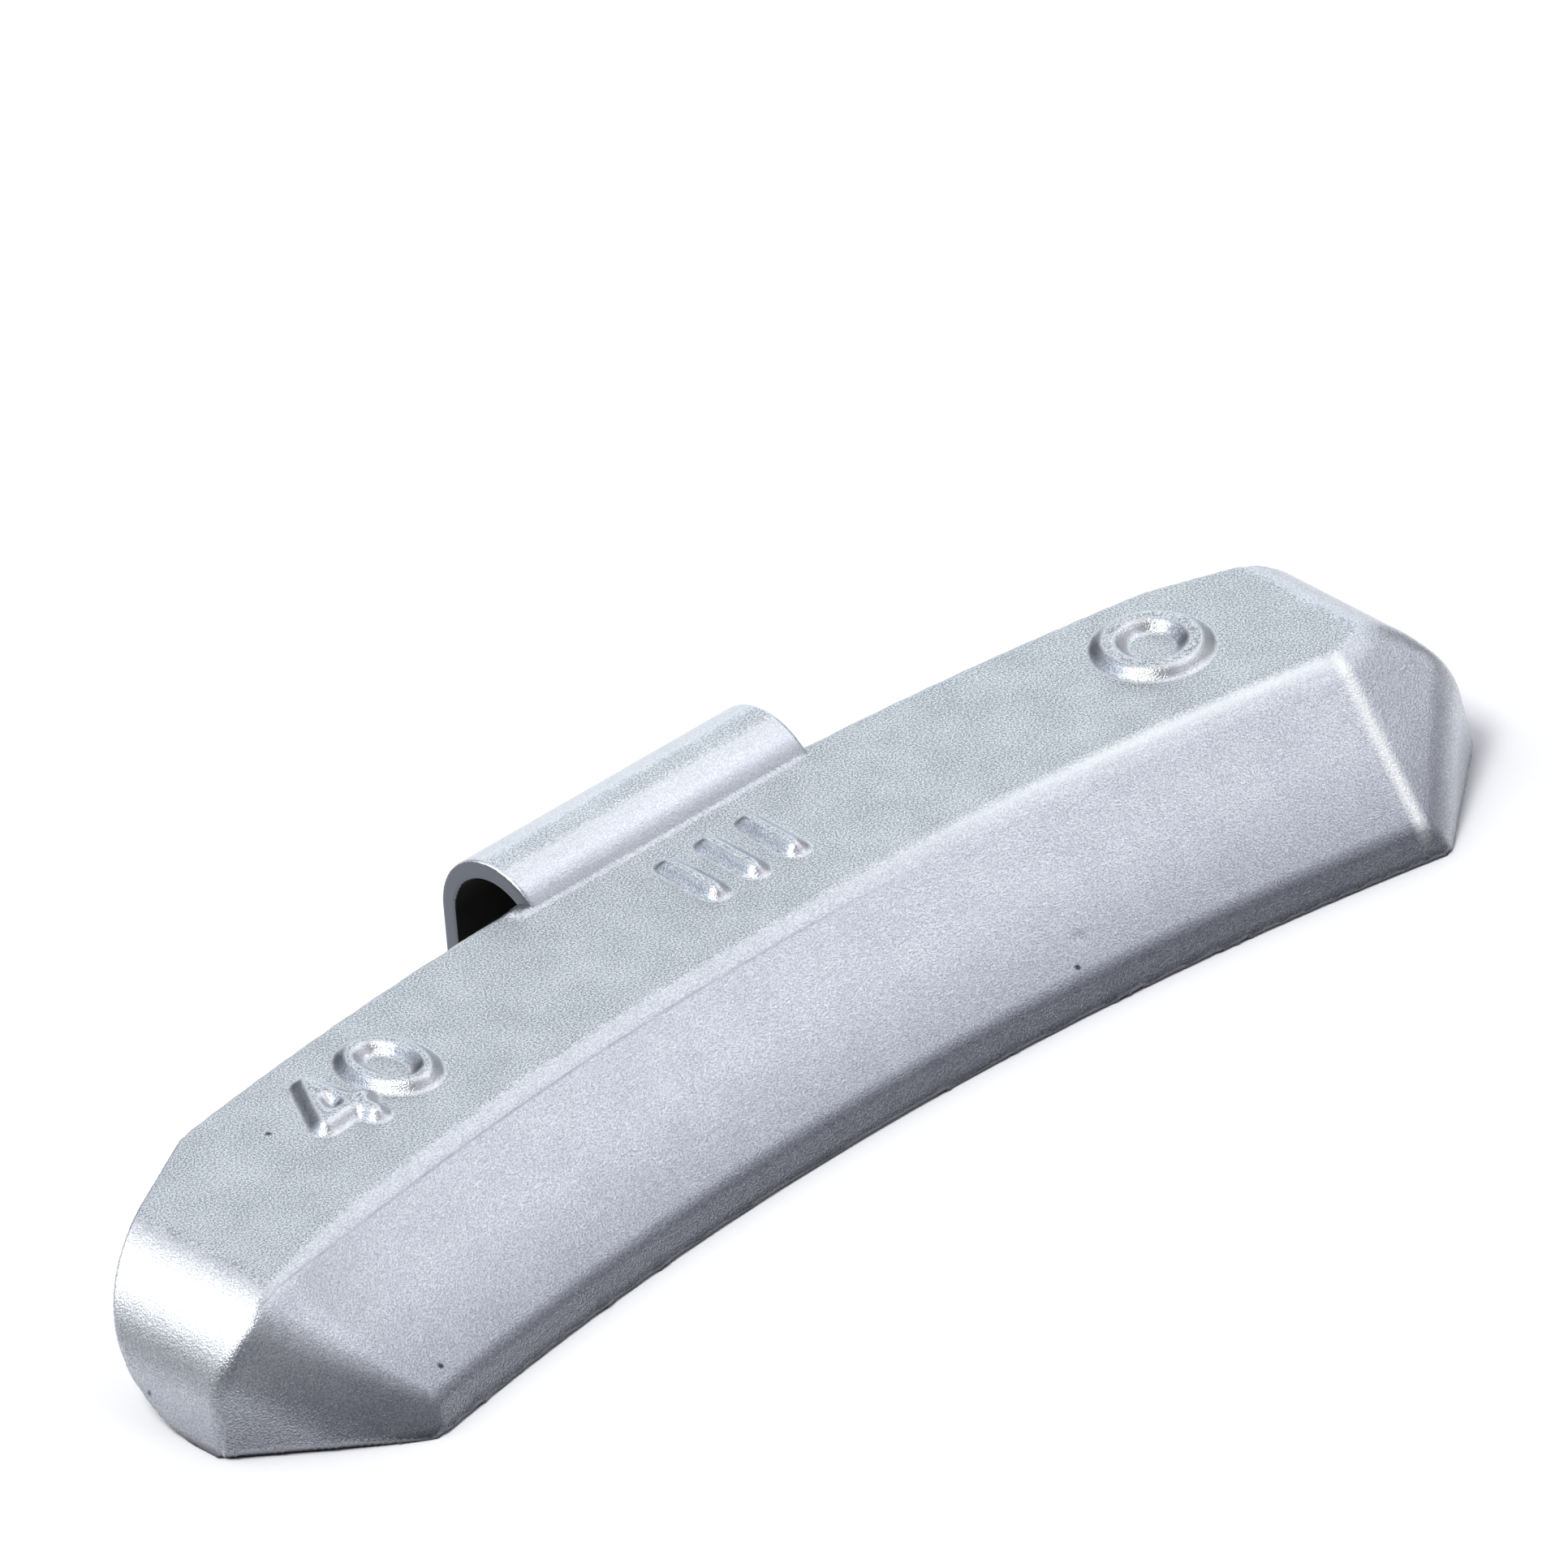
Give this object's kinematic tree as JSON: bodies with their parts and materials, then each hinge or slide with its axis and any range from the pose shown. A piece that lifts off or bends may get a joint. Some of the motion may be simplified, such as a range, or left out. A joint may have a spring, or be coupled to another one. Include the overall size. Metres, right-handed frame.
{
  "type": "wheel balance weight",
  "caption": "Clip-on wheel balance weight: a curved zinc casting with a sloped front face, chamfered ends and a spring steel hook that grips the rim lip.",
  "frame": {"origin": "on the marked face, in the middle of the casting's back edge, where the rim lip lies", "axes": "+X along the rim, +Y radially outward from the wheel axis to the rim lip, +Z away from the tyre and out of the marked face"},
  "size_m": [0.075, 0.0265, 0.0073],
  "materials": {
    "coated_zinc": "silver coating with fine metal flake, satin",
    "coated_steel": "silver coating, satin"
  },
  "bodies": {
    "root": {"weight_body": "coated_zinc", "retaining_clip": "coated_steel"}
  },
  "joints": []
}
